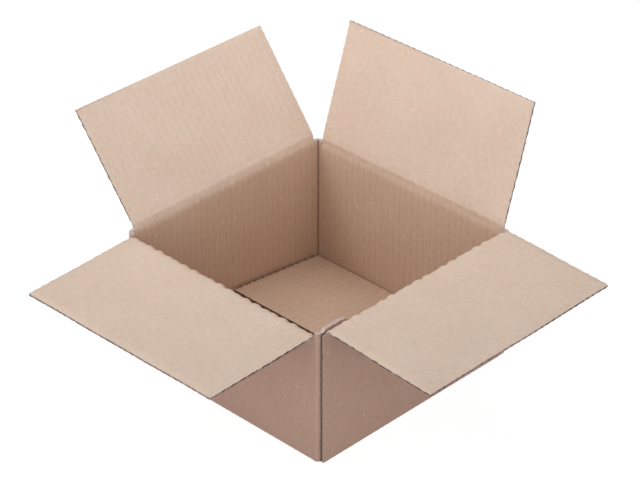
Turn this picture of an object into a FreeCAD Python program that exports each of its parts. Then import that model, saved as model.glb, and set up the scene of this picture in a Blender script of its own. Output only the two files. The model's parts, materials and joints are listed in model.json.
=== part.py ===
import FreeCAD, Part
import math
import os

# Open carton of single-wall corrugated board, folded from one sheet.
# Millimetres, +Z up, origin at the middle of the underside.
# The front-left wall faces -Y, front-right faces +X, back-right faces +Y, back-left faces -X.
# The skilled feature is the board itself: its two liners and the wave between them are cut
# true at the ends of the flaps, and each flap turns about its outer liner on a rolled crease.

V = FreeCAD.Vector

# Board
board = 3.0            # thickness over both liners
liner = 0.35           # one facing sheet
medium = 0.30          # the waved sheet between them
flute_pitch = 6.5      # one full wave
flank_lean = 0.9       # sideways run of the wave's flank for each mm of rise

# Carton
inside_x = 200.0       # clear width between the back-left and front-right walls
inside_y = 202.0       # clear width between the front-left and back-right walls
inner_crease = 112.0   # height of the fold lines of the front-left and back-right flaps
crease_roll = 1.5      # radius of the roll that the board makes along a fold line
play = 0.3             # clearance between a turning flap and what it passes
tab_clearance = 0.1    # the flaps' slots stop short of the glued tab by this much
crushed = 8.0          # board beside a fold line where the wave is pressed flat
score_at = 5.8         # distance of the pressed score from the fold line
score_half = 0.8       # half of the width of the score's mouth
score_deep = 0.5       # depth of the score
flap_to_middle = 0.3   # what a closed flap leaves to the middle of the carton

# Flap angles in the stored pose, from straight up, leaning outwards
front_left_angle = 92.0
front_right_angle = 93.3
back_left_angle = 38.0
back_right_angle = 17.7

# Corners
corner_rise = 0.9      # the uncreased corner above the higher fold line
corner_foot = 2.5      # underside of the uncreased corner
tab_width = 30.0       # glued tab, from the fold along the front-right wall
tab_above = 1.0        # underside of the tab above the outer bottom flap

# Bottom
fold_drop = 0.8        # underside of the folds of the two inner bottom flaps
step_run = 2.8         # the inner flaps climb on to the outer ones within this run
step_ease = 0.9       # softened inner angle of that climb
spring_angle = 5.5     # the back-right inner flap stands up by this much
seam_shift = 0.7       # the outer flaps meet a little off the middle line
seam_gap = 0.6         # and leave this much between their ends

# Derived sizes. All flaps end on one straight cut of the sheet, so those with the higher fold
# line are shorter by the difference.
half_x = inside_x / 2 + board
half_y = inside_y / 2 + board
outer_crease = inner_crease + board + play
half_flap_x = inside_x / 2 - board - play - tab_clearance
half_flap_y = inside_y / 2 - board - play - tab_clearance
inner_flap = half_y - flap_to_middle
outer_flap = inner_flap - (outer_crease - inner_crease)
corner_top = outer_crease + corner_rise
rise = board - 2 * liner
flank = math.hypot(1.0, flank_lean)
crest = (flute_pitch / 2 - medium * flank - flank_lean * (rise - 2 * medium)) / 2
valley = crest + flank_lean * (rise - medium)
thinnest = liner / 7      # an open flute narrower than this at a side edge is left out


def polygon(points):
    """Flat face through the points, closed."""
    return Part.Face(Part.makePolygon(points + [points[0]]))


def turned(shape, quarter):
    """A shape drawn for the front-left side, brought round to another side."""
    out = shape.copy()
    out.rotate(V(0, 0, 0), V(0, 0, 1), 90.0 * quarter)
    return out


def flute_hole(middle, upright):
    """Section of one open flute, above (upright False) or below the waved sheet."""
    low = liner
    high = board - liner - medium
    if not upright:
        low = board - liner
        high = liner + medium
    return polygon([V(middle - valley, 0, low), V(middle + valley, 0, low),
                    V(middle + crest, 0, high), V(middle - crest, 0, high)])


def fluted_board(half_width, length):
    """Board lying on z = 0, flutes along +Y from y = 0, both ends of the wave open."""
    plate = polygon([V(-half_width, 0, 0), V(half_width, 0, 0),
                     V(half_width, 0, board), V(-half_width, 0, board)])
    holes = []
    count = int(half_width / flute_pitch) + 1
    for i in range(-count, count + 1):
        for upright in (True, False):
            middle = flute_pitch * (i if upright else i + 0.5)
            if abs(middle) - valley < half_width - thinnest:
                holes.append(flute_hole(middle, upright))
    section = plate.cut(Part.makeCompound(holes))
    return section.Faces[0].extrude(V(0, length, 0))


def flap(half_width, length, angle, crease, reach):
    """One top flap on the front-left side: drawn upright, then leaned out about its outer liner."""
    start = crease_roll + play
    inner = start + board / 2
    profile = [V(-half_width, 0, start), V(-half_width, 0, crushed), V(-half_width, board, crushed),
               V(-half_width, board, score_at + score_half),
               V(-half_width, board - score_deep, score_at + score_half / 3),
               V(-half_width, board - score_deep, score_at - score_half / 3),
               V(-half_width, board, score_at - score_half),
               V(-half_width, board, inner)]
    root = polygon(profile).extrude(V(2 * half_width, 0, 0))
    blade = fluted_board(half_width, length - crushed)
    blade.rotate(V(0, 0, 0), V(1, 0, 0), 90.0)
    blade.translate(V(0, board, crushed))
    whole = root.fuse(blade).removeSplitter()
    whole.rotate(V(0, 0, 0), V(1, 0, 0), angle)
    whole.translate(V(0, -reach, crease))
    return whole


def crease_top(reach, crease, x):
    """Edges of a wall's top: outer face, rolled crease, mitre down to the inner face."""
    side = (-play + math.sqrt(2 * crease_roll ** 2 - play ** 2)) / 2
    roll = Part.Arc(V(x, -reach, crease - crease_roll), V(x, -reach, crease + crease_roll),
                    V(x, -reach + side, crease - side - play)).toShape()
    mitre = Part.makeLine(V(x, -reach + side, crease - side - play),
                          V(x, -reach + board, crease - board - play))
    return roll, mitre


def wall_over_outer(half_width, reach, end):
    """Wall with its outer bottom flap, the lowest layer."""
    x = -half_width
    roll, mitre = crease_top(reach, outer_crease, x)
    low = board * (1 - math.sqrt(0.5))
    fold = Part.Arc(V(x, -reach + board, 0), V(x, -reach + low, low), V(x, -reach, board)).toShape()
    path = [V(x, -reach + board, outer_crease - board - play), V(x, -reach + board, board),
            V(x, end, board), V(x, end, 0), V(x, -reach + board, 0)]
    inner = [Part.makeLine(a, b) for a, b in zip(path[:-1], path[1:])]
    face = Part.makeLine(V(x, -reach, board), V(x, -reach, outer_crease - crease_roll))
    wire = Part.Wire(Part.__sortEdges__([roll, mitre] + inner + [fold, face]))
    return Part.Face(wire).extrude(V(2 * half_width, 0, 0))


def wall_over_inner(half_width, reach, spring):
    """Wall with its inner bottom flap, which climbs on to the outer flaps and may spring up."""
    x = -half_width
    roll, mitre = crease_top(reach, inner_crease, x)
    low = board * (1 - math.sqrt(0.5))
    fold = Part.Arc(V(x, -reach + board, fold_drop), V(x, -reach + low, fold_drop + low),
                    V(x, -reach, fold_drop + board)).toShape()
    lift = play if spring else 0.0
    bend = V(x, -reach + board + step_run, board + lift)
    along = V(0, math.cos(math.radians(spring)), math.sin(math.radians(spring)))
    across = V(0, -along.z, along.y)
    under = bend + along * crushed
    over = under + across * board
    back = bend + across * board - along * step_ease
    heel = V(x, -reach + board, fold_drop + board + step_ease)
    path = [V(x, -reach + board, inner_crease - board - play), heel, back, over, under, bend,
            V(x, -reach + board, fold_drop)]
    inner = [Part.makeLine(a, b) for a, b in zip(path[:-1], path[1:])]
    face = Part.makeLine(V(x, -reach, fold_drop + board), V(x, -reach, inner_crease - crease_roll))
    wire = Part.Wire(Part.__sortEdges__([roll, mitre] + inner + [fold, face]))
    wall = Part.Face(wire).extrude(V(2 * half_width, 0, 0))
    length = reach - board - step_run - crushed - flap_to_middle
    blade = fluted_board(half_flap_x, length)
    blade.rotate(V(0, 0, 0), V(1, 0, 0), spring)
    blade.translate(V(0, under.y, under.z))
    return wall.fuse(blade)


def corner(sx, sy, end_x, end_y):
    """Folded upright corner between two walls, without creases: outer radius one board."""
    ax, ay = half_x - board, half_y - board
    bow = board * math.sqrt(0.5)
    arc = Part.Arc(V(sx * ax, sy * half_y, 0), V(sx * (ax + bow), sy * (ay + bow), 0),
                   V(sx * half_x, sy * ay, 0)).toShape()
    path = [V(sx * half_x, sy * ay, 0), V(sx * half_x, sy * end_y, 0), V(sx * ax, sy * end_y, 0),
            V(sx * ax, sy * ay, 0), V(sx * end_x, sy * ay, 0), V(sx * end_x, sy * half_y, 0),
            V(sx * ax, sy * half_y, 0)]
    lines = [Part.makeLine(a, b) for a, b in zip(path[:-1], path[1:])]
    face = Part.Face(Part.Wire(Part.__sortEdges__([arc] + lines)))
    face.translate(V(0, 0, corner_foot))
    return face.extrude(V(0, 0, corner_top - corner_foot))


def front_corner(end_x, end_y):
    """The maker's joint: the front-left wall folds inside the front-right one and is glued."""
    tab_in = half_x - 2 * board
    tab_out = half_x - board
    fold_y = -half_y + board
    bow = board * math.sqrt(0.5)
    arc = Part.Arc(V(tab_in, -half_y, 0), V(tab_in + bow, fold_y - bow, 0), V(tab_out, fold_y, 0)).toShape()
    path = [V(tab_out, fold_y, 0), V(tab_in, fold_y, 0), V(end_x, fold_y, 0), V(end_x, -half_y, 0),
            V(tab_in, -half_y, 0)]
    lines = [Part.makeLine(a, b) for a, b in zip(path[:-1], path[1:])]
    fold = Part.Face(Part.Wire(Part.__sortEdges__([arc] + lines)))
    fold.translate(V(0, 0, corner_foot))
    fold = fold.extrude(V(0, 0, corner_top - corner_foot))
    tab_top = outer_crease - board - play
    tab_low = board + tab_above
    tab = Part.makeBox(board, tab_width, tab_top - tab_low, V(tab_in, fold_y, tab_low))
    edge_y = fold_y + play
    edge = Part.makeBox(board, -end_y - edge_y, corner_top - corner_foot, V(tab_out, edge_y, corner_foot))
    return fold.fuse([tab, edge])


def box_body():
    """Walls, corners, tab and the four folded bottom flaps: the standing part of the sheet."""
    wide_x = half_flap_x + play
    wide_y = half_flap_y + play
    left_end = -(seam_shift - seam_gap / 2)
    right_end = seam_shift + seam_gap / 2
    pieces = [wall_over_inner(wide_x, half_y, 0.0),
              turned(wall_over_outer(wide_y, half_x, -right_end), 1),
              turned(wall_over_inner(wide_x, half_y, spring_angle), 2),
              turned(wall_over_outer(wide_y, half_x, -left_end), 3)]
    for sx, sy in ((-1, -1), (-1, 1), (1, 1)):
        pieces.append(corner(sx, sy, wide_x, wide_y))
    pieces.append(front_corner(wide_x, wide_y))
    whole = pieces[0].fuse(pieces[1:]).removeSplitter()
    return whole


os.makedirs("parts", exist_ok=True)
nodes = {
    "box_body": box_body(),
    "flap_front_left": flap(half_flap_x, inner_flap, front_left_angle, inner_crease, half_y),
    "flap_front_right": turned(flap(half_flap_y, outer_flap, front_right_angle, outer_crease, half_x), 1),
    "flap_back_right": turned(flap(half_flap_x, inner_flap, back_right_angle, inner_crease, half_y), 2),
    "flap_back_left": turned(flap(half_flap_y, outer_flap, back_left_angle, outer_crease, half_x), 3),
}
for name, shape in nodes.items():
    solids = shape.Solids
    if len(solids) == 1:
        shape = solids[0]
    box = shape.BoundBox
    print(name, "solids", len(solids), "valid", shape.isValid(), "cm3", round(shape.Volume / 1000, 2),
          "faces", len(shape.Faces), "size", round(box.XLength, 1), round(box.YLength, 1), round(box.ZLength, 1))
    shape.exportStep(os.path.join("parts", name + ".step"))
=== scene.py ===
import json
import math

import bpy
import numpy as np
from mathutils import Matrix, Vector


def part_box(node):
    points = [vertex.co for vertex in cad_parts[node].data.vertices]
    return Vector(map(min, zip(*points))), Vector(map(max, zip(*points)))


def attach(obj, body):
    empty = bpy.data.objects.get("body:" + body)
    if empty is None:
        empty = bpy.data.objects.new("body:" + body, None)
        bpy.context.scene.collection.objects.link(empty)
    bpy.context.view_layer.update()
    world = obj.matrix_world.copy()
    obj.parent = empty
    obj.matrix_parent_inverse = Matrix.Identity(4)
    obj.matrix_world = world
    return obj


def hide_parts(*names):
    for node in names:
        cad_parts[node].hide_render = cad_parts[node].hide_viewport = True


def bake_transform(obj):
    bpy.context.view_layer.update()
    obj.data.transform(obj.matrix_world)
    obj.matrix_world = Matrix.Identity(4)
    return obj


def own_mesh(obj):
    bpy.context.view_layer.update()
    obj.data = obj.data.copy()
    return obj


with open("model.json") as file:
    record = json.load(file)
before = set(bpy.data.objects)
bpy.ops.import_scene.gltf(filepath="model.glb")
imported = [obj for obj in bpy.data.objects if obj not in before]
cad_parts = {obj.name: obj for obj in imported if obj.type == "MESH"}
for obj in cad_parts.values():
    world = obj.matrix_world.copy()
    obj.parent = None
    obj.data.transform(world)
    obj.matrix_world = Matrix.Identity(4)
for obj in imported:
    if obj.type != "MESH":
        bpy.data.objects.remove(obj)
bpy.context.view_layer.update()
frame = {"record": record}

# An open carton of single-wall corrugated board. Every piece below is a part of one folded sheet,
# drawn in millimetres on that sheet and then folded into place:
#   s  distance along a wall, from its middle (the waves of the board cross this direction)
#   v  distance up the wall from the flap's fold line, negative below it, positive on the flap
#   q  depth through the board, from 0 on the outer face to BOARD on the inner face
# Walls are numbered as quarter turns of the front-left one: 0 front-left, 1 front-right,
# 2 back-right, 3 back-left.

MM = 0.001
BOARD = 3.0                # thickness of the board
LINER = 0.35               # thickness of each facing sheet
MEDIUM = 0.30              # thickness of the waved sheet
PITCH = 6.5                # one full wave
SHEET_STEP = 32 * PITCH    # from one wall's middle to the next on the flat sheet
WALLS = ("front_left", "front_right", "back_right", "back_left")
FRONT_LEFT, FRONT_RIGHT, BACK_RIGHT, BACK_LEFT = range(4)

joints = {j["name"]: j for j in frame["record"]["behaviour"]["joints"]}


def hinge(wall):
    """The frame's joint at a wall's top fold."""
    return joints[WALLS[wall] + "_fold"]


def flap_half(wall):
    """Half of a top flap's width."""
    low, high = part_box("flap_" + WALLS[wall])
    return (high[wall % 2] - low[wall % 2]) / 2 / MM


# Read from the frame: outer faces, fold heights, flap widths and the flaps' angles at rest.
REACH = [max(abs(c) for c in hinge(k)["pos_m"][:2]) / MM for k in range(4)]
CREASE = [hinge(k)["pos_m"][2] / MM for k in range(4)]
HALF = [flap_half(k) for k in range(4)]
ANGLE = [-hinge(k)["range_deg"][0] - 90.0 for k in range(4)]

PLAY = 0.3                 # clearance beside and at the end of a folded flap

# All four top flaps end on one straight cut of the sheet. Those with the lower fold lines reach
# the carton's middle.
LONGEST = REACH[FRONT_LEFT] - PLAY
LENGTH = [LONGEST - (CREASE[k] - min(CREASE)) for k in range(4)]

# Bottom folds: the inner bottom flaps, on the front-left and back-right walls, climb on to the
# outer ones. The back-right one has sprung up.
FOLD_DROP = 0.8            # underside of the inner flaps' folds
FOLD_ROUND = 3.6           # how far from a folded corner its rounding starts
STEP_HEEL = 0.7            # the climb starts this far inside the wall's inner face
STEP_RUN = 2.8             # and ends this far inside it
STEP_ROUND = (1.4, 1.0)    # rounding at the climb's end and at its start
RESTING_GAP = 0.05         # between the flat inner flap and the outer ones
SPRING = 6.0               # degrees by which the sprung flap stands up
SPRUNG_SHORT = 1.6         # its end stands back from the middle by this much more
SPREAD = 1.7               # it spreads sideways towards the walls by this much
SPREAD_FROM, SPREAD_OVER = 3.0, 4.0   # from this far past the wall's foot, growing over this far
SPREAD_EDGE = 12           # how closely the spread keeps to its sides, as a power
FOLD_GROOVE, GROOVE_WIDE = 1.5, 2.4   # its fold is pressed in this deep, and this far to each side
FOLD_SHADE_LIFT = 0.06          # the painted shade strip in the fold lies above the face by this much
SIDE_SHADOW_LIFT = 0.05           # and so does the painted shadow strip at the side
SIDE_SHADOW_FROM = 7.0            # that strip starts this far past the wall's foot
SIDE_SHADOW_WIDE = 1.6               # its widest
SIDE_SHADOW_RISE = 1.1            # how far its edge by the wall is turned up
SEAM = 0.7                 # the outer flaps meet this far off the middle

# Corners
CORNER_PROUD = (0.3, -1.7, -2.3, 0.1)    # left, back, right and front, above the higher fold lines
CORNER_FOOT = 2.5
CORNER_GROOVE = 1.6        # how deep the inside of a corner's fold is pressed in
GROOVE_PAST = 0.6          # how far past the rounding it reaches
TAB_WIDTH = 30.0
TAB_FOOT = 4.0
TAB_MARGIN = 1.0           # the tab's own top and foot end this far from the wall beside it
TAB_PROUD = 5.4            # the crushed top of the glued tab above the lower fold lines
CROWN_INSETS = (2.0, 2.5)  # that top starts and ends this far inside the tab
CROWN_ENDS, CROWN_EASE = 0.45, 3.0    # share of its height at its ends, growing over this far
EDGE_SETBACK = 2.3         # the front-right wall's free edge stands back from the corner
EDGE_LINER, EDGE_OPEN = 0.4, 1.0      # liners in that open edge, and how far its waves stand back

# Top flaps and their creases
STRIP_LOW = -6.5           # the crease strip reaches from here on the wall
STRIP_HIGH = 8.0           # to here on the flap
CREASE_SOFT = (2.5, 2.5, 4.6, 3.7)    # how far from the fold line each bend starts
CREASE_SUNK = 0.8          # the pressed fold line lies this far below the face
CREASE_WIDE = 3.4          # and reaches this far to each side
CREASE_SAG, SAG_LENGTH = 0.15, 71.0   # it rises and sinks slowly along the wall
RIM_TEETH = (0.85, 0.75, 0.3, 0.3)    # unevenness of each pressed fold line
SCORE_AT, SCORE_WIDE, SCORE_DEEP = 5.8, 1.3, 0.13    # the pressed score beside it
RIDGE_AT, RIDGE_WIDE, RIDGE_HIGH = 2.6, 1.6, 0.12    # and the ridge between the two
TWIST = (0.59, 0.83, -1.12, -0.88)    # degrees from end to end of each flap
BOW = 0.35                 # slow unevenness of walls and flaps
FLAP_BOWS = (150.0, 90.0, 61.0)       # lengths of its waves on the flaps
WALL_BOWS = (170.0, 95.0, 58.0)       # and on the walls
FLAP_BOW_OVER = 40.0       # on a flap it grows over this far from the bend
WALL_BOW_FROM, WALL_BOW_OVER = 12.0, 25.0    # on a wall from this far off the folds, over this far
SWELL = 0.05               # height of the washboard on the faces
SWELL_FADE = 4.0           # the washboard fades out this close to the fold line
INNER_PINCH = (1.0, 1.1, 0.3, 0.3)    # how much the cut edges are crushed from the inner face
OUTER_PINCH = (0.35, 0.35, 1.2, 1.2)  # and from the outer face
SIDE_CRUSH, TIP_CRUSH = 2.2, 2.4      # how far in from sides and tips the crushing reaches
CRUSH_SWING = 0.18         # share by which it varies along an edge
CRUSH_FADE = 4.0           # it fades out over this far below the fold line
RAGGED = 0.5               # how far the cut edges wander
SIDE_WANDER, TIP_WANDER = 2.0, 1.6    # how far in from sides and tips the faces wander with them
WANDER_OVER = 5.0          # the sides begin to wander over this far above the fold line
BITES = ((0.32, 7.3), (0.18, 3.1))    # share and length of the waves along the sides
SHORTER = (0.1, 0.1, 0.4, 0.1)        # each tip is drawn in by this share of RAGGED

# Spacing of the faces
SIDE_ZONE = 3.0            # closer columns this near a side edge
SIDE_SPOTS = (2.6, 2.0, 1.5, 1.1, 0.7, 0.35, 0.0)
TIP_ZONE = 3.0             # closer rows this near a cut end
HIDDEN_ZONE = 12.0         # and for the sheets inside the board
FOLD_ZONE = 9.0            # closer rows this far to each side of a bottom fold
SECTION_DEEP = 14.0        # a bottom flap's open end shows its waves this far in
LEAST_WAVE = 0.02          # the waved sheet keeps this height where the board is crushed


class Path:
    """A folded line: straight runs between points, each corner rounded by an arc."""

    def __init__(self, points, rounds, zero):
        self.points = np.array(points, float)
        steps = np.diff(self.points, axis=0)
        self.run = np.hypot(steps[:, 0], steps[:, 1])
        self.way = steps / self.run[:, None]
        self.start = np.concatenate([[0.0], np.cumsum(self.run)])
        self.rounds = rounds
        self.zero = zero

    def at(self, v):
        """Spots and normals at distances v along the unrounded line, counted from self.zero."""
        d = np.asarray(v, float) + self.zero
        leg = np.clip(np.searchsorted(self.start, d, side="right") - 1, 0, len(self.run) - 1)
        spot = self.points[leg] + self.way[leg] * (d - self.start[leg])[..., None]
        way = self.way[leg].copy()
        for i, reach in enumerate(self.rounds):
            before, after = self.way[i], self.way[i + 1]
            turn = math.atan2(before[0] * after[1] - before[1] * after[0], float(before @ after))
            near = np.abs(d - self.start[i + 1]) < reach
            if abs(turn) < 1e-6 or not near.any():
                continue
            radius = reach / math.tan(abs(turn) / 2)
            side = np.array([-before[1], before[0]]) * math.copysign(1.0, turn)
            centre = self.points[i + 1] - before * reach + side * radius
            angle = turn * (d[near] - self.start[i + 1] + reach) / (2 * reach)
            c, s = np.cos(angle), np.sin(angle)
            arm = -side * radius
            spot[near, 0] = centre[0] + arm[0] * c - arm[1] * s
            spot[near, 1] = centre[1] + arm[0] * s + arm[1] * c
            way[near, 0] = before[0] * c - before[1] * s
            way[near, 1] = before[0] * s + before[1] * c
        normal = np.stack([way[..., 1], -way[..., 0]], -1)
        return spot, normal


def turned(x, y, z, wall):
    """A point drawn for the front-left wall, brought round to another wall."""
    c, s = ((1, 0), (0, 1), (-1, 0), (0, -1))[wall]
    return np.stack([x * c - y * s, x * s + y * c, z], -1)


def wall_path(wall):
    """The sheet's outer face from the free end of the bottom flap to the free end of the top flap."""
    reach, crease = REACH[wall], CREASE[wall]
    a = math.radians(ANGLE[wall])
    tip = (-LENGTH[wall] * math.sin(a), crease + LENGTH[wall] * math.cos(a))
    if wall % 2:
        end = reach - PLAY + (-SEAM if wall == FRONT_RIGHT else SEAM)
        points = [(end, 0.0), (0.0, 0.0), (0.0, crease), tip]
        rounds = [FOLD_ROUND, CREASE_SOFT[wall]]
        below = end + crease
    else:
        sprung = wall == BACK_RIGHT
        lift = math.radians(SPRING if sprung else 0.0)
        bend = (BOARD + STEP_RUN, BOARD + (PLAY if sprung else RESTING_GAP))
        heel = (BOARD + STEP_HEEL, FOLD_DROP)
        length = reach - bend[0] - PLAY - (SPRUNG_SHORT if sprung else 0.0)
        end = (bend[0] + length * math.cos(lift), bend[1] + length * math.sin(lift))
        points = [end, bend, heel, (0.0, FOLD_DROP), (0.0, crease), tip]
        rounds = [*STEP_ROUND, FOLD_ROUND - 0.2, CREASE_SOFT[wall]]
        below = length + math.dist(bend, heel) + heel[0] + crease - FOLD_DROP
    return Path(points, rounds, below), below


PATHS = [wall_path(k) for k in range(4)]


def ripple(s, v, seed, sizes, amount):
    """Slow unevenness of the sheet: a few crossed waves of the given lengths."""
    total = np.zeros(np.broadcast(s, v).shape)
    for i, size in enumerate(sizes):
        lean = seed * 1.7 + i * 2.4
        along = s * math.cos(lean) + v * math.sin(lean)
        total = total + np.sin(2 * math.pi / size * along + seed * 3.1 + i)
    return amount * total / len(sizes)


def wave(x, length, shift=0.0):
    """A cosine along x of the given length."""
    return np.cos(2 * np.pi * x / length + shift)


def uneven(share, x, length, shift=0.0):
    """1 at most, and less by up to twice the share, in waves along x."""
    return 1 - share + share * wave(x, length, shift)


def wash(s):
    """The waves inside the board."""
    return wave(s, PITCH)


def bell(x, width):
    """1 at x = 0, falling smoothly to nothing beyond the width."""
    return np.exp(-(x / width) ** 2)


def grown(x, over):
    """0 for x below 0, growing to 1 at x = over."""
    return np.clip(x / over, 0, 1)


def crumple(s, v, wall):
    """The pressed fold line: the inner face sinks, unevenly, as its waves give way."""
    teeth = 1 - 1.6 * np.abs(np.sin(np.pi * s / (2 * PITCH) + 0.9 * wall)) ** 3
    rim = 0.5 * teeth + 0.5 * wave(s, 1.45 * PITCH, 2 * wall)
    sag = CREASE_SAG * wave(s, SAG_LENGTH, wall * 1.3)
    sunk = RIM_TEETH[wall] * rim + sag - CREASE_SUNK
    score = SCORE_DEEP * bell(v - SCORE_AT, SCORE_WIDE)
    ridge = RIDGE_HIGH * bell(v - RIDGE_AT, RIDGE_WIDE)
    return bell(v, CREASE_WIDE) * sunk - score + ridge


def to_edges(s, v, wall):
    """Distances from the sides and from the tip of a top flap."""
    return np.clip(HALF[wall] - np.abs(s), 0, None), np.clip(LENGTH[wall] - v, 0, None)


def pinch(s, v, wall):
    """The knife crushes the board along a top flap's cut edges, more here and less there: 0 to 1."""
    side, tip = to_edges(s, v, wall)
    teeth = uneven(CRUSH_SWING, v, 9.1, 3 * np.sin(v / 17.0) + wall)
    notch = uneven(CRUSH_SWING, s + 1.0, PITCH)
    crushed = np.maximum(teeth * bell(side, SIDE_CRUSH), notch * bell(tip, TIP_CRUSH))
    return crushed * grown(v + CRUSH_FADE, CRUSH_FADE)


def ragged(s, v, wall):
    """Sheet coordinates with the top flap's cut edges wandering a little."""
    side, tip = to_edges(s, v, wall)
    shift = np.where(s > 0, 1.0, 2.3) + wall
    bite = sum(share * wave(v, length, (i + 1) * shift) for i, (share, length) in enumerate(BITES))
    bite = bite * bell(side, SIDE_WANDER) * grown(v, WANDER_OVER)
    nick = 0.5 + 0.3 * wash(s) + 0.2 * wave(s, 0.71 * PITCH, wall)
    nick = (0.6 * nick + SHORTER[wall]) * bell(tip, TIP_WANDER)
    return s - np.sign(s) * RAGGED * bite, v - RAGGED * nick


def spread_out(s, v):
    """The sprung bottom flap spreads sideways, up to the walls beside it."""
    past_foot = -v - CREASE[BACK_RIGHT]
    amount = SPREAD * uneven(0.15, v, 8.3) * grown(past_foot - SPREAD_FROM, SPREAD_OVER)
    return s + np.sign(s) * amount * grown(np.abs(s), HALF[BACK_RIGHT]) ** SPREAD_EDGE


def place(s, v, q, wall):
    """Sheet to world, in millimetres."""
    s, v, q = np.broadcast_arrays(np.asarray(s, float), np.asarray(v, float), np.asarray(q, float))
    s, v = ragged(s, v, wall)
    if wall == BACK_RIGHT:
        s = spread_out(s, v)
    spot, normal = PATHS[wall][0].at(v)
    up = np.clip(v - CREASE_SOFT[wall], 0, None)
    twist = np.tan(np.radians(TWIST[wall]) / 2 * s / HALF[wall]) * up
    off_folds = np.minimum(-v, v + CREASE[wall])
    bow = ripple(s, v, wall + 1.0, FLAP_BOWS, BOW) * grown(up, FLAP_BOW_OVER)
    bow = bow + ripple(s, v, wall + 5.0, WALL_BOWS, BOW) * grown(off_folds - WALL_BOW_FROM, WALL_BOW_OVER)
    shift = twist + bow
    if wall in (BACK_RIGHT, BACK_LEFT):
        # the tip of a leaning flap stays inside the solids' box
        shift = np.maximum(shift, -(LENGTH[wall] - v) * np.tan(np.radians(ANGLE[wall])))
    q = q + shift
    p = spot[..., 0] + normal[..., 0] * q
    z = spot[..., 1] + normal[..., 1] * q
    return turned(s, -REACH[wall] + p, z, wall)


class Board:
    """Collects the faces of one piece of the sheet."""

    def __init__(self):
        self.points, self.flat, self.faces, self.kinds = [], [], [], []
        self.count = 0

    def surface(self, world, flat, kind, flip=False):
        """A grid of faces through an (n, m) array of points."""
        n, m = world.shape[:2]
        index = np.arange(n * m).reshape(n, m) + self.count
        quads = np.stack([index[:-1, :-1], index[1:, :-1], index[1:, 1:], index[:-1, 1:]], -1)
        quads = quads.reshape(-1, 4)
        if flip:
            quads = quads[:, ::-1]
        self.points.append(world.reshape(-1, 3))
        self.flat.append(flat.reshape(-1, 3))
        self.faces.append(quads)
        self.kinds.append(np.full(len(quads), kind))
        self.count += n * m

    def piece(self, name, materials):
        """The collected faces as one object."""
        points = np.concatenate(self.points) * MM
        flat = np.concatenate(self.flat) * MM
        faces = np.concatenate(self.faces)
        kinds = np.concatenate(self.kinds)
        mesh = bpy.data.meshes.new(name)
        mesh.vertices.add(len(points))
        mesh.vertices.foreach_set("co", points.astype(np.float32).ravel())
        mesh.loops.add(faces.size)
        mesh.loops.foreach_set("vertex_index", faces.astype(np.int32).ravel())
        mesh.polygons.add(len(faces))
        mesh.polygons.foreach_set("loop_start", np.arange(0, faces.size, 4, dtype=np.int32))
        mesh.polygons.foreach_set("material_index", kinds.astype(np.int32))
        mesh.update(calc_edges=True)
        mesh.shade_smooth()
        store = mesh.attributes.new("sheet", "FLOAT_VECTOR", "POINT")
        store.data.foreach_set("vector", flat.astype(np.float32).ravel())
        for material in materials:
            mesh.materials.append(material)
        mesh.validate()
        piece = bpy.data.objects.new(name, mesh)
        bpy.context.scene.collection.objects.link(piece)
        return piece


# Material slots: liner faces, cut edges, the waved sheet inside (its own brown darkened with painted shade
# of the flutes), crushed edges.
FACE, CUT, WAVE_SHADED, PALE = range(4)


def sheet_flat(s, v, q, wall):
    """Place on the blank, for the materials: the walls lie side by side."""
    s, v, q = np.broadcast_arrays(np.asarray(s, float), np.asarray(v, float), np.asarray(q, float))
    return np.stack([s + SHEET_STEP * wall, v + CREASE[wall], q], -1)


def add(board, s, v, q, wall, kind, flip=False):
    """A surface of one wall's sheet through arrays s, v, q that broadcast to (n, m)."""
    world = place(s, v, q, wall)
    board.surface(world, sheet_flat(s, v, q, wall), kind, flip)


def columns(half, per_pitch):
    """Places along a wall, so many for each wave, and closer together at its ends."""
    n = int(round(2 * half / PITCH * per_pitch))
    even = np.linspace(-half, half, n + 1)
    fine = half - np.array(SIDE_SPOTS)
    middle = even[np.abs(even) < half - SIDE_ZONE]
    return np.unique(np.round(np.concatenate([-fine, middle, fine]), 4))


def rows(*stops):
    """Places along v: (value, step) pairs, each step used up to the next value."""
    out = []
    for (a, step), (b, _) in zip(stops[:-1], stops[1:]):
        n = max(1, int(round((b - a) / step)))
        out.extend(np.linspace(a, b, n + 1)[:-1])
    out.append(stops[-1][0])
    return np.array(out)


def medium(s, low, high):
    """Depths of the waved sheet's two faces, between the liners' inner faces at low and high."""
    slope = (BOARD / 2 - LINER - MEDIUM / 2) * 2 * np.pi / PITCH * np.sin(2 * np.pi * s / PITCH)
    half = MEDIUM / 2 * np.sqrt(1 + slope ** 2)
    swing = np.clip((high - low) / 2 - MEDIUM / 2, LEAST_WAVE, None)
    middle = (high + low) / 2 + swing * wash(s)
    return middle - half, middle + half


def faces_of(board, s, v, wall, inner, outer):
    """Inner and outer faces over the grid s by v."""
    S, V = np.meshgrid(s, v, indexing="ij")
    add(board, S, V, inner(S, V), wall, FACE, flip=False)
    add(board, S, V, outer(S, V), wall, FACE, flip=True)


def step_groove(v, wall):
    """The sprung flap's fold is pressed in along the foot of its wall."""
    if wall != BACK_RIGHT:
        return 0 * v
    return FOLD_GROOVE * bell(v + CREASE[wall] - FOLD_DROP, GROOVE_WIDE)


def washboard(s, v):
    """The washboard that the waves leave on a face: 0 on its crests and negative between them."""
    return SWELL * (wash(s) - 1) * grown(np.abs(v), SWELL_FADE)


def inner_face(wall):
    """The inner face's depth as a function of s and v."""
    return lambda s, v: (BOARD + washboard(s, v) + crumple(s, v, wall)
                         - INNER_PINCH[wall] * pinch(s, v, wall) - step_groove(v, wall))


def outer_face(wall):
    """The outer face's depth as a function of s and v."""
    return lambda s, v: OUTER_PINCH[wall] * pinch(s, v, wall) - washboard(s + PITCH / 2, v)


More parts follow.
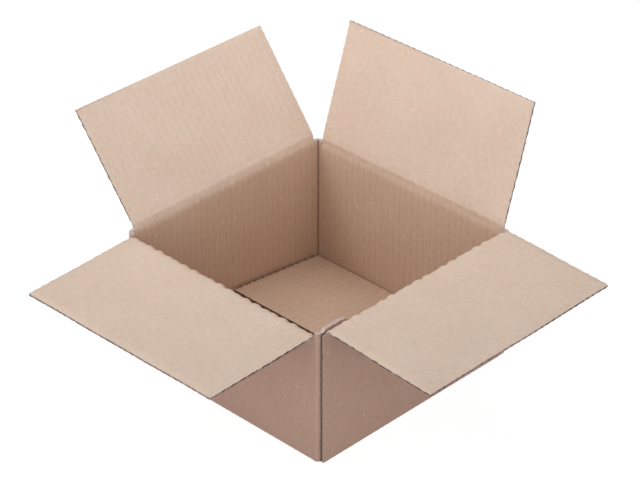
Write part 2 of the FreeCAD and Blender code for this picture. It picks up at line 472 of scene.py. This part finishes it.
def open_section(board, s, v, wall, inner, outer, side_rows=None):
    """Liners with thickness and the wave between them, over the rows v, cut at its last row."""
    S, V = np.meshgrid(s, v, indexing="ij")
    top, bottom = inner(S, V), outer(S, V)
    under, over = medium(S, bottom + LINER, top - LINER)
    add(board, S, V, top - LINER, wall, WAVE_SHADED, flip=True)
    add(board, S, V, bottom + LINER, wall, WAVE_SHADED, flip=False)
    add(board, S, V, over, wall, WAVE_SHADED, flip=False)
    add(board, S, V, under, wall, WAVE_SHADED, flip=True)

    def rims(s, v, flip):
        """The three cut sheets' thickness along an edge."""
        top, bottom = inner(s, v), outer(s, v)
        under, over = medium(s, bottom + LINER, top - LINER)
        for low, high in ((top - LINER, top), (bottom, bottom + LINER), (under, over)):
            q = np.stack([low, high], -1)
            add(board, s[:, None], v[:, None], q, wall, CUT, flip)

    rims(s, v[-1] + 0 * s, v[-1] < v[0])
    if side_rows is not None:
        rims(s[0] + 0 * side_rows, side_rows, True)
        rims(s[-1] + 0 * side_rows, side_rows, False)


def closed_sides(board, half, v, wall, inner, outer, steps, flip):
    """Both side edges, closed from the outer to the inner face."""
    for edge, turn in ((-half, flip), (half, not flip)):
        q = np.linspace(0, 1, steps)[None, :]
        low, high = outer(edge + 0 * v, v)[:, None], inner(edge + 0 * v, v)[:, None]
        depth = low + (high - low) * q
        add(board, edge + 0 * depth, v[:, None] + 0 * depth, depth, wall, CUT, turn)


def flap_piece(wall, materials):
    """A top flap beyond its crease, its edges open or crushed."""
    board = Board()
    half, length = HALF[wall], LENGTH[wall]
    inner, outer = inner_face(wall), outer_face(wall)
    v = rows((STRIP_HIGH, 0.8), (12.0, 1.3), (length - TIP_ZONE, 0.75), (length, 1.0))
    faces_of(board, columns(half, 8), v, wall, inner, outer)
    hidden = rows((STRIP_HIGH, 6.0), (length - HIDDEN_ZONE, 3.0), (length - TIP_ZONE, 0.75), (length, 1.0))
    open_section(board, columns(half, 8), hidden, wall, inner, outer, v)
    return board.piece("flap_board_" + WALLS[wall], materials)


def crease_piece(wall, materials):
    """The strip round the crease between a wall and its flap."""
    board = Board()
    half = HALF[wall]
    inner, outer = inner_face(wall), outer_face(wall)
    soft = CREASE_SOFT[wall]
    v = rows((STRIP_LOW, 0.6), (-soft, 0.35), (soft, 0.35), (STRIP_HIGH, 1.0))
    faces_of(board, columns(half, 8), v, wall, inner, outer)
    closed_sides(board, half, v, wall, inner, outer, 4, True)
    return board.piece("crease_" + WALLS[wall], materials)


def side_shadow_strip(board, half, end, inner):
    """A dark strip at the sprung flap's left side, turned up against the wall and in the waved sheet's
    tone: painted shadow in the gap between that side and the wall.
    """
    v = np.arange(-CREASE[BACK_RIGHT] - SIDE_SHADOW_FROM, end, -0.8)
    shadow_reach = 0.62 + 0.33 * wave(v, 8.3) + 0.25 * wave(v, 4.9, 1.0)
    s = half + SIDE_SHADOW_LIFT - SIDE_SHADOW_WIDE * np.stack([shadow_reach, 0.5 * shadow_reach, 0 * shadow_reach], 0)
    lift = SIDE_SHADOW_LIFT + np.stack([0 * shadow_reach, 0.3 * shadow_reach, SIDE_SHADOW_RISE * shadow_reach], 0)
    add(board, s, v + 0 * s, inner(s, v + 0 * s) + lift, BACK_RIGHT, WAVE_SHADED, True)


def fold_shade_strip(board, half, inner):
    """A dark broken strip along the sprung flap's pressed fold, in the waved sheet's tone: painted shade in
    the crease.
    """
    s = columns(half - 1.0, 8)[:, None]
    wide = 1.6 + 0.5 * wave(s, 8.9) + 0.4 * wave(s, 4.3, 1.0)
    v = FOLD_DROP - CREASE[BACK_RIGHT] + wide * np.linspace(-1, 1, 9)[None, :]
    add(board, s, v, inner(s + 0 * v, v) + FOLD_SHADE_LIFT, BACK_RIGHT, WAVE_SHADED)


def panel_piece(wall, materials):
    """One wall and its bottom flap."""
    board = Board()
    half = HALF[wall] + PLAY
    below = PATHS[wall][1]
    inner, outer = inner_face(wall), outer_face(wall)
    near, past = CREASE[wall] - FOLD_ZONE, CREASE[wall] + FOLD_ZONE
    v = -rows((-STRIP_LOW, 4.0), (near, 0.8), (past, 5.0), (below - TIP_ZONE, 0.75), (below, 1.0))
    faces_of(board, columns(half, 8), v[::-1], wall, inner, outer)
    if wall == BACK_RIGHT:
        # painted shade: dark strips in the gap at the sprung flap's side and along its pressed fold
        side_shadow_strip(board, half, v[-1], inner)
        fold_shade_strip(board, half, inner)
    end = -rows((below - SECTION_DEEP, 3.5), (below, 1.0))
    open_section(board, columns(half, 12), end, wall, inner, outer)
    closed_sides(board, half, v, wall, inner, outer, 3, False)
    return board.piece("panel_" + WALLS[wall], materials)


# Bands across a cut edge: depth from, to, set back, material.
OPEN_EDGE = ((0.0, EDGE_LINER, 0.0, CUT),
             (EDGE_LINER, BOARD - EDGE_LINER, EDGE_OPEN, WAVE_SHADED),
             (BOARD - EDGE_LINER, BOARD, 0.0, CUT))
CRUSHED_EDGE = ((0.0, BOARD, 0.0, PALE),)


def post(board, points, rounds, low, high, number, bands=CRUSHED_EDGE):
    """An upright strip of the sheet round a corner, from low to high.

    Its plan runs through the points, rounded by the rounds. low and high are functions of the
    distance along it, and number places it on the flat sheet."""
    path = Path(points, rounds, 0.0)
    folds = [(path.start[i + 1], reach) for i, reach in enumerate(rounds)]
    stops = list(np.linspace(0, path.start[-1], 12))
    for at, reach in folds:
        stops += list(np.linspace(at - reach, at + reach, 17))
    t = np.unique(np.round(np.array(stops), 5))
    tall = np.linspace(0, 1, 24)

    def skin(at, q, z, kind, flip):
        """A surface through distances along the plan, depths and heights."""
        at, q, z = np.broadcast_arrays(np.asarray(at, float), np.asarray(q, float), np.asarray(z, float))
        spots, normals = path.at(at)
        x, y = (spots[..., k] + normals[..., k] * q for k in (0, 1))
        flat = np.stack([at + SHEET_STEP * (number + 0.5), z, q], -1)
        board.surface(np.stack([x, y, z], -1), flat, kind, flip)

    T = t[:, None] + 0 * tall
    Z = low(t)[:, None] + (high(t) - low(t))[:, None] * tall[None, :]
    groove = 0 * T
    for at, reach in folds:
        pressed = np.clip(1 - np.abs(T - at) / (reach + GROOVE_PAST), 0, 1)
        groove = groove + CORNER_GROOVE * pressed ** 1.5
    skin(T, BOARD - groove, Z, FACE, True)
    skin(T, 0 * T, Z, FACE, False)
    for start, stop, back, kind in bands:
        q = np.array([[start, stop]])
        for edge, sign, flip in ((high, -1, False), (low, 1, True)):
            skin(t[:, None], q, edge(t)[:, None] + sign * back + 0 * q, kind, flip)
        for i, sign, flip in ((0, 1, True), (-1, -1, False)):
            skin(t[i] + sign * back, q.T, Z[i][None, :], kind, flip)


def flat_at(height):
    """A post's level top or foot."""
    return lambda t: height + 0 * t


def corners_piece(materials):
    """The four uncreased corners, the glued tab and the front-right wall's free edge."""
    board = Board()
    x, y = REACH[FRONT_RIGHT], REACH[FRONT_LEFT]
    a, b = HALF[FRONT_LEFT] + PLAY, HALF[FRONT_RIGHT] + PLAY
    foot = flat_at(CORNER_FOOT)
    left, back, right, front = (flat_at(max(CREASE) + proud) for proud in CORNER_PROUD)
    post(board, [(-a, -y), (-x, -y), (-x, -b)], [FOLD_ROUND], foot, left, 0)
    post(board, [(-x, b), (-x, y), (-a, y)], [FOLD_ROUND], foot, back, 1)
    post(board, [(a, y), (x, y), (x, b)], [FOLD_ROUND], foot, right, 2)
    tab_x = x - BOARD
    tab_end = -y + BOARD + TAB_WIDTH
    own_end = TAB_WIDTH - TAB_MARGIN

    def tab_foot(t):
        return np.where(t < own_end, TAB_FOOT, CORNER_FOOT)

    def tab_top(t):
        return np.where(t < own_end, CREASE[FRONT_LEFT], front(t))

    post(board, [(tab_x, tab_end), (tab_x, -y), (a, -y)], [FOLD_ROUND], tab_foot, tab_top, 3)
    post(board, [(x, -b), (x, -y + EDGE_SETBACK)], [], foot, front, 4, bands=OPEN_EDGE)
    return board.piece("corner_folds", materials)


def tab_crown(materials):
    """The glued tab's crushed top."""
    board = Board()
    x = REACH[FRONT_RIGHT] - BOARD
    near = -REACH[FRONT_LEFT] + BOARD + CROWN_INSETS[0]
    far = -REACH[FRONT_LEFT] + BOARD + TAB_WIDTH - CROWN_INSETS[1]
    foot = CREASE[FRONT_LEFT]

    def top(t):
        inside = grown(np.minimum(t, far - near - t), CROWN_EASE)
        rough = 0.4 * wave(t, 7.1) + 0.3 * wave(t, 3.3, 1.0)
        return foot + TAB_PROUD * (CROWN_ENDS + (1 - CROWN_ENDS) * inside) + rough

    post(board, [(x, far), (x, near)], [], flat_at(foot), top, 3)
    return board.piece("tab_crown", materials)


# Materials

def node(tree, kind, **values):
    """A new node with the given settings."""
    new = tree.nodes.new(kind)
    for key, value in values.items():
        setattr(new, key, value)
    return new


def arithmetic(tree, operation, *values):
    """A Math node's result; each value is a number or another node's output."""
    m = node(tree, "ShaderNodeMath", operation=operation)
    for socket, value in zip(m.inputs, values):
        if isinstance(value, bpy.types.NodeSocket):
            tree.links.new(value, socket)
        else:
            socket.default_value = value
    return m.outputs[0]


WHITE = (1, 1, 1)
BLACK = (0, 0, 0)

SHEEN = 0.15

# Grain of the paper: noise scale, stretch, detail and roughness, and the tints over its values.
CLOUDS = (26.0, (1, 1, 0), 3.0, 0.5)
MOTTLING = (130.0, (1, 0.8, 0), 3.0, 0.6)
MOTTLING_TINTS = [(0.32, (1.02, 0.985, 0.97)), (0.5, WHITE), (0.68, (0.978, 0.992, 0.987))]
# Painted shade: dark patches on the cut edges that stand for shaded gaps.
GAP_SHADE = (380.0, (1, 1, 1), 1.0, 0.5)
GAP_SHADE_TINTS = [(0.42, (0.55, 0.47, 0.44)), (0.58, (1.1, 1.1, 1.12))]
STREAKS = (330.0, (1, 0.55, 0), 2.0, 0.6)
STREAK_TINTS = [(0.3, (0.972, 0.955, 0.94)), (0.7, (1.02, 1.032, 1.045))]
FIBRES = (420.0, (0.35, 2.2, 0), 3.0, 0.65)
FIBRE_TINTS = [(0.3, (0.965, 0.945, 0.925)), (0.7, (1.03, 1.042, 1.06))]
TOOTH = (1100.0, (1, 1, 0), 2.0, 0.7)
TOOTH_TINTS = [(0.3, (0.945, 0.922, 0.885)), (0.7, (1.045, 1.062, 1.1))]
FIBRE_BUMP, FIBRE_DEEP = 0.25, 0.0004    # strength, and depth in metres

# Specks: noise, the values between which they begin, and how strongly they cover the paper.
DARK_SPECKS = ((700.0, (1, 1, 0), 0.0, 0.5), 0.77, 0.82, 0.5)
PALE_SPECKS = ((310.0, (1, 1, 0), 0.0, 0.5), 0.85, 0.88, 0.55)
PALE_SPECK = (0.86, 0.8, 0.74)

# The board's waves, printed through as lines.
PRINT_TINT = (0.78, 0.70, 0.63)
PRINT_FLAP, PRINT_INSIDE, PRINT_OUTSIDE = 0.1, 0.5, 0.05    # strengths
PRINT_WANDER = 0.35        # how far the lines wander, in waves
PRINT_LINE = (0.12, 0.02)  # from a line's border to its full strength, in waves off its middle
PRINT_DRIFT = (170.0, (0.3, 1, 0), 2.0, 0.5)    # noise that leads the lines
PRINT_BREAKS = (170.0, (0.9, 0.9, 0), 2.0, 0.6)    # noise that breaks them
PRINT_BROKEN = (0.38, 0.58)

# Where the walls' inner tone, the flaps' tone darkened with painted shade, gives way to the flaps', and the
# outer tone, partly painted shade, to the inner, in metres.
FLAP_FROM = ((min(CREASE) - 4.0) * MM, (min(CREASE) + 7.0) * MM)
INSIDE_FROM = (0.4 * BOARD * MM, 0.6 * BOARD * MM)


def kraft(name, tone, cloud, fleck, rough, by_face=False, patchy=False):
    """Kraft paper: a cloudy tone, mottling, fibres, a fine tooth, and dark and pale specks.

    With by_face, tone holds the tones of the flaps, the walls' inside, which is the flaps' tone
    darkened with painted shade, and the outside, partly painted shade under the flaps, and the
    board's waves print through. With patchy, dark patches of painted shade, standing for shaded gaps, break
    it up."""
    mat = bpy.data.materials.new(name)
    mat.use_nodes = True
    tree = mat.node_tree
    tree.nodes.clear()
    link = tree.links.new
    out = node(tree, "ShaderNodeOutputMaterial")
    bsdf = node(tree, "ShaderNodeBsdfPrincipled")
    bsdf.inputs["Roughness"].default_value = rough
    bsdf.inputs["Specular IOR Level"].default_value = SHEEN
    link(bsdf.outputs["BSDF"], out.inputs["Surface"])
    place_on_sheet = node(tree, "ShaderNodeAttribute", attribute_name="sheet")

    def noise(scale, stretch, detail, gain):
        """Noise laid out on the flat sheet."""
        m = node(tree, "ShaderNodeMapping")
        m.inputs["Scale"].default_value = stretch
        link(place_on_sheet.outputs["Vector"], m.inputs["Vector"])
        n = node(tree, "ShaderNodeTexNoise")
        n.inputs["Scale"].default_value = scale
        n.inputs["Detail"].default_value = detail
        n.inputs["Roughness"].default_value = gain
        link(m.outputs["Vector"], n.inputs["Vector"])
        return n.outputs["Fac"]

    def ramp(value, stops):
        """Colours at the given values, and blends between them."""
        r = node(tree, "ShaderNodeValToRGB")
        elements = r.color_ramp.elements
        while len(elements) > len(stops):
            elements.remove(elements[-1])
        while len(elements) < len(stops):
            elements.new(1.0)
        for e, (at, colour) in zip(elements, stops):
            e.position = at
            e.color = (*colour, 1.0)
        link(value, r.inputs["Fac"])
        return r.outputs["Color"]

    def mix(kind, fac, a, b):
        """Two colours mixed; each is a tuple or another node's output."""
        m = node(tree, "ShaderNodeMix", data_type="RGBA", blend_type=kind)
        for socket, value in ((m.inputs[0], fac), (m.inputs[6], a), (m.inputs[7], b)):
            if isinstance(value, bpy.types.NodeSocket):
                link(value, socket)
            elif isinstance(value, tuple):
                socket.default_value = (*value, 1.0)
            else:
                socket.default_value = value
        return m.outputs[2]

    def between(value, low, high):
        """0 at low and 1 at high, eased."""
        m = node(tree, "ShaderNodeMapRange", interpolation_type="SMOOTHSTEP")
        m.inputs["From Min"].default_value = low
        m.inputs["From Max"].default_value = high
        link(value, m.inputs["Value"])
        return m.outputs["Result"]

    def grey(level):
        return (level, level, level)

    def times(colour, by):
        return mix("MULTIPLY", 1.0, colour, by)

    def calculate(operation, *values):
        return arithmetic(tree, operation, *values)

    split = node(tree, "ShaderNodeSeparateXYZ")
    link(place_on_sheet.outputs["Vector"], split.inputs[0])
    colour = tone
    if by_face:
        flap_tone, inside_shade_tone, outside_tone_and_shade = tone
        # painted shade: the walls' inner faces take a darker tone than the flaps' inner faces of the same
        # liner, and the outer faces take a tone that is partly painted shade under the flaps
        on_flap = between(split.outputs["Y"], *FLAP_FROM)
        is_inside = between(split.outputs["Z"], *INSIDE_FROM)
        inner = mix("MIX", on_flap, inside_shade_tone, flap_tone)
        colour = mix("MIX", is_inside, outside_tone_and_shade, inner)
    colour = times(colour, ramp(noise(*CLOUDS), [(0.3, cloud), (0.7, WHITE)]))
    colour = times(colour, ramp(noise(*MOTTLING), MOTTLING_TINTS))
    if by_face:
        turn = calculate("FRACT", calculate("MULTIPLY", split.outputs["X"], 1 / (PITCH * MM)))
        drift = calculate("SUBTRACT", noise(*PRINT_DRIFT), 0.5)
        drift = calculate("MULTIPLY", drift, PRINT_WANDER)
        off = calculate("ABSOLUTE", calculate("ADD", calculate("SUBTRACT", turn, 0.5), drift))
        line = between(off, *PRINT_LINE)
        unbroken = between(noise(*PRINT_BREAKS), *PRINT_BROKEN)
        amount = mix("MIX", on_flap, grey(PRINT_INSIDE), grey(PRINT_FLAP))
        amount = mix("MIX", is_inside, grey(PRINT_OUTSIDE), amount)
        shown = calculate("MULTIPLY", calculate("MULTIPLY", line, unbroken), amount)
        colour = mix("MIX", shown, colour, times(colour, PRINT_TINT))
    # painted shade: dark patches standing for shaded gaps in the cut edges
    if patchy:
        colour = times(colour, ramp(noise(*GAP_SHADE), GAP_SHADE_TINTS))
    fibres = noise(*FIBRES)
    colour = times(colour, ramp(noise(*STREAKS), STREAK_TINTS))
    colour = times(colour, ramp(fibres, FIBRE_TINTS))
    colour = times(colour, ramp(noise(*TOOTH), TOOTH_TINTS))
    for speck, (grain, start, full, strength) in ((fleck, DARK_SPECKS), (PALE_SPECK, PALE_SPECKS)):
        cover = ramp(noise(*grain), [(start, BLACK), (full, grey(strength))])
        colour = mix("MIX", cover, colour, speck)
    link(colour, bsdf.inputs["Base Color"])
    bump = node(tree, "ShaderNodeBump")
    bump.inputs["Strength"].default_value = FIBRE_BUMP
    bump.inputs["Distance"].default_value = FIBRE_DEEP
    link(fibres, bump.inputs["Height"])
    link(bump.outputs["Normal"], bsdf.inputs["Normal"])
    return mat


# Tones of the liners. The inside tone is the flap tone darkened with painted shade of the box's inside; the
# outside tone is partly the outer liner's own tone and partly painted shade under the flaps.
FLAP_TONE = (0.706, 0.549, 0.431)
INSIDE_SHADE_TONE = (0.62, 0.443, 0.322)
OUTSIDE_TONE_AND_SHADE = (0.55, 0.368, 0.282)
EDGE_CLOUD = (0.8, 0.78, 0.77)
face = kraft("kraft_face", (FLAP_TONE, INSIDE_SHADE_TONE, OUTSIDE_TONE_AND_SHADE), cloud=(0.955, 0.945, 0.935),
             fleck=(0.5, 0.38, 0.29), rough=0.9, by_face=True)
cut = kraft("kraft_cut_edge", (0.6, 0.5, 0.455), cloud=EDGE_CLOUD,
            fleck=(0.3, 0.2, 0.15), rough=0.95, patchy=True)
# The waved sheet's tone is its own brown darkened with painted shade of the flutes; it also colours the
# painted shade strips of the sprung flap.
wave_sheet_and_shade = kraft("kraft_wave_and_painted_shade", (0.32, 0.18, 0.115), cloud=(0.8, 0.77, 0.74),
             fleck=(0.2, 0.12, 0.09), rough=0.95)
pale = kraft("kraft_crushed_edge", (0.62, 0.53, 0.475), cloud=EDGE_CLOUD,
             fleck=(0.4, 0.3, 0.25), rough=0.95)
MATERIALS = [face, cut, wave_sheet_and_shade, pale]    # in the order of FACE, CUT, WAVE_SHADED, PALE

# Pieces

for wall in range(4):
    flap = flap_piece(wall, MATERIALS)
    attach(flap, "flap_" + WALLS[wall])
    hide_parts("flap_" + WALLS[wall])
    panel = panel_piece(wall, MATERIALS)
    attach(panel, "box_body")
    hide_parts("box_body")
    crease = crease_piece(wall, MATERIALS)
    soft = CREASE_SOFT[wall]
    ends = place(np.zeros(2), np.array([-soft, soft]), np.zeros(2), wall) * MM
    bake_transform(crease)
corners = corners_piece(MATERIALS)
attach(corners, "box_body")
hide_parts("box_body")
crown = tab_crown(MATERIALS)
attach(crown, "box_body")
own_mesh(crown)

# Floor, light and camera

FLOOR_TONE = (0.8, 0.8, 0.8)
FLOOR_GLOW = 0.87          # share of plain white in what the camera sees of the floor
FLOOR_WHITE = 1.1          # strength of that white; the rest of the floor keeps the shadow
FLOOR_REACH = 4            # half of the floor's side, in metres
FLOOR_BELOW = 0.0002       # the floor lies this far under the carton

far = FLOOR_REACH
floor_mesh = bpy.data.meshes.new("floor")
floor_mesh.from_pydata([(-far, -far, 0), (far, -far, 0), (far, far, 0), (-far, far, 0)], [], [(0, 1, 2, 3)])
floor = bpy.data.objects.new("floor", floor_mesh)
floor.location.z = -FLOOR_BELOW
bpy.context.scene.collection.objects.link(floor)


def seen_directly(tree):
    """1 for camera, glossy and transmission rays."""
    rays = node(tree, "ShaderNodeLightPath")
    seen = rays.outputs["Is Camera Ray"]
    for kind in ("Is Glossy Ray", "Is Transmission Ray"):
        seen = arithmetic(tree, "MAXIMUM", seen, rays.outputs[kind])
    return seen


def floor_material():
    """Plain white to the camera, with the carton's shadow faintly on it, and pale to the light."""
    mat = bpy.data.materials.new("pale_floor")
    mat.use_nodes = True
    tree = mat.node_tree
    tree.nodes.clear()
    link = tree.links.new
    out = node(tree, "ShaderNodeOutputMaterial")
    diffuse = node(tree, "ShaderNodeBsdfDiffuse")
    diffuse.inputs["Color"].default_value = (*FLOOR_TONE, 1)
    glow = node(tree, "ShaderNodeEmission")
    glow.inputs["Color"].default_value = (*WHITE, 1)
    glow.inputs["Strength"].default_value = FLOOR_WHITE
    both = node(tree, "ShaderNodeMixShader")
    link(arithmetic(tree, "MULTIPLY", seen_directly(tree), FLOOR_GLOW), both.inputs[0])
    link(diffuse.outputs[0], both.inputs[1])
    link(glow.outputs[0], both.inputs[2])
    link(both.outputs[0], out.inputs["Surface"])
    return mat


floor_mesh.materials.append(floor_material())

# Studio light: a pale tent, brighter low down and on the camera's side, and two soft lamps.
SKY_EVEN = 1.05
SKY_LEAN = (0.4, -0.51, -1.0)     # added for each unit of the direction's x, y and z
LIGHT_TONE = (1.0, 1.03, 1.08)    # slightly cool
LAMP_AIM = (0, 0, 0.08)
LAMPS = [
    # place in metres, side of the square, power in watts
    ((0.0, 0.2, 0.7), 0.5, 1.62),
    ((-0.5, -0.6, 1.0), 0.6, 4.8),
]


def studio_world():
    """Light from the tent; what the camera sees of it is plain white."""
    world = bpy.data.worlds.new("studio")
    bpy.context.scene.world = world
    world.use_nodes = True
    tree = world.node_tree
    tree.nodes.clear()
    link = tree.links.new
    way = node(tree, "ShaderNodeTexCoord")
    lean = node(tree, "ShaderNodeVectorMath", operation="DOT_PRODUCT")
    lean.inputs[1].default_value = SKY_LEAN
    link(way.outputs["Generated"], lean.inputs[0])
    strength = arithmetic(tree, "ADD", lean.outputs["Value"], SKY_EVEN)
    light = node(tree, "ShaderNodeBackground")
    light.inputs["Color"].default_value = (*LIGHT_TONE, 1)
    link(arithmetic(tree, "MAXIMUM", strength, 0.0), light.inputs["Strength"])
    white = node(tree, "ShaderNodeBackground")
    white.inputs["Color"].default_value = (*WHITE, 1)
    both = node(tree, "ShaderNodeMixShader")
    link(seen_directly(tree), both.inputs[0])
    link(light.outputs[0], both.inputs[1])
    link(white.outputs[0], both.inputs[2])
    out = node(tree, "ShaderNodeOutputWorld")
    link(both.outputs[0], out.inputs["Surface"])


studio_world()
for i, (where, side, power) in enumerate(LAMPS):
    lamp = bpy.data.lights.new(f"softbox_{i}", "AREA")
    lamp.shape = "SQUARE"
    lamp.size = side
    lamp.energy = power
    lamp.color = LIGHT_TONE
    softbox = bpy.data.objects.new(f"softbox_{i}", lamp)
    softbox.location = where
    aim = Vector(LAMP_AIM) - Vector(where)
    softbox.rotation_mode = "QUATERNION"
    softbox.rotation_quaternion = aim.to_track_quat("-Z", "Y")
    bpy.context.scene.collection.objects.link(softbox)

# The photograph's view, fitted to the object's outline. Angles in degrees, distances in millimetres.
FOCAL_PX = 2684.96
IMAGE_WIDTH = 640
SENSOR_WIDTH = 36.0
AZIMUTH, ELEVATION, ROLL = 44.29, 31.81, 0.06
AIM_RIGHT, AIM_UP, DISTANCE = 0.58, 87.18, 2104.69

a, e, r = (math.radians(angle) for angle in (AZIMUTH, ELEVATION, ROLL))
back = Vector((math.sin(a) * math.cos(e), -math.cos(a) * math.cos(e), math.sin(e)))
sideways = Vector((math.cos(a), math.sin(a), 0))
upright = back.cross(sideways)
right = sideways * math.cos(r) + upright * math.sin(r)
up = upright * math.cos(r) - sideways * math.sin(r)
camera_data = bpy.data.cameras.new("camera")
camera_data.sensor_width = SENSOR_WIDTH
camera_data.lens = FOCAL_PX * SENSOR_WIDTH / IMAGE_WIDTH
camera = bpy.data.objects.new("camera", camera_data)
spot = (back * DISTANCE + right * AIM_RIGHT + up * AIM_UP) * MM
turn = Matrix((right, up, back)).transposed().to_4x4()
camera.matrix_world = Matrix.Translation(spot) @ turn
bpy.context.scene.collection.objects.link(camera)
bpy.context.scene.camera = camera
bpy.context.scene.view_settings.view_transform = "Standard"
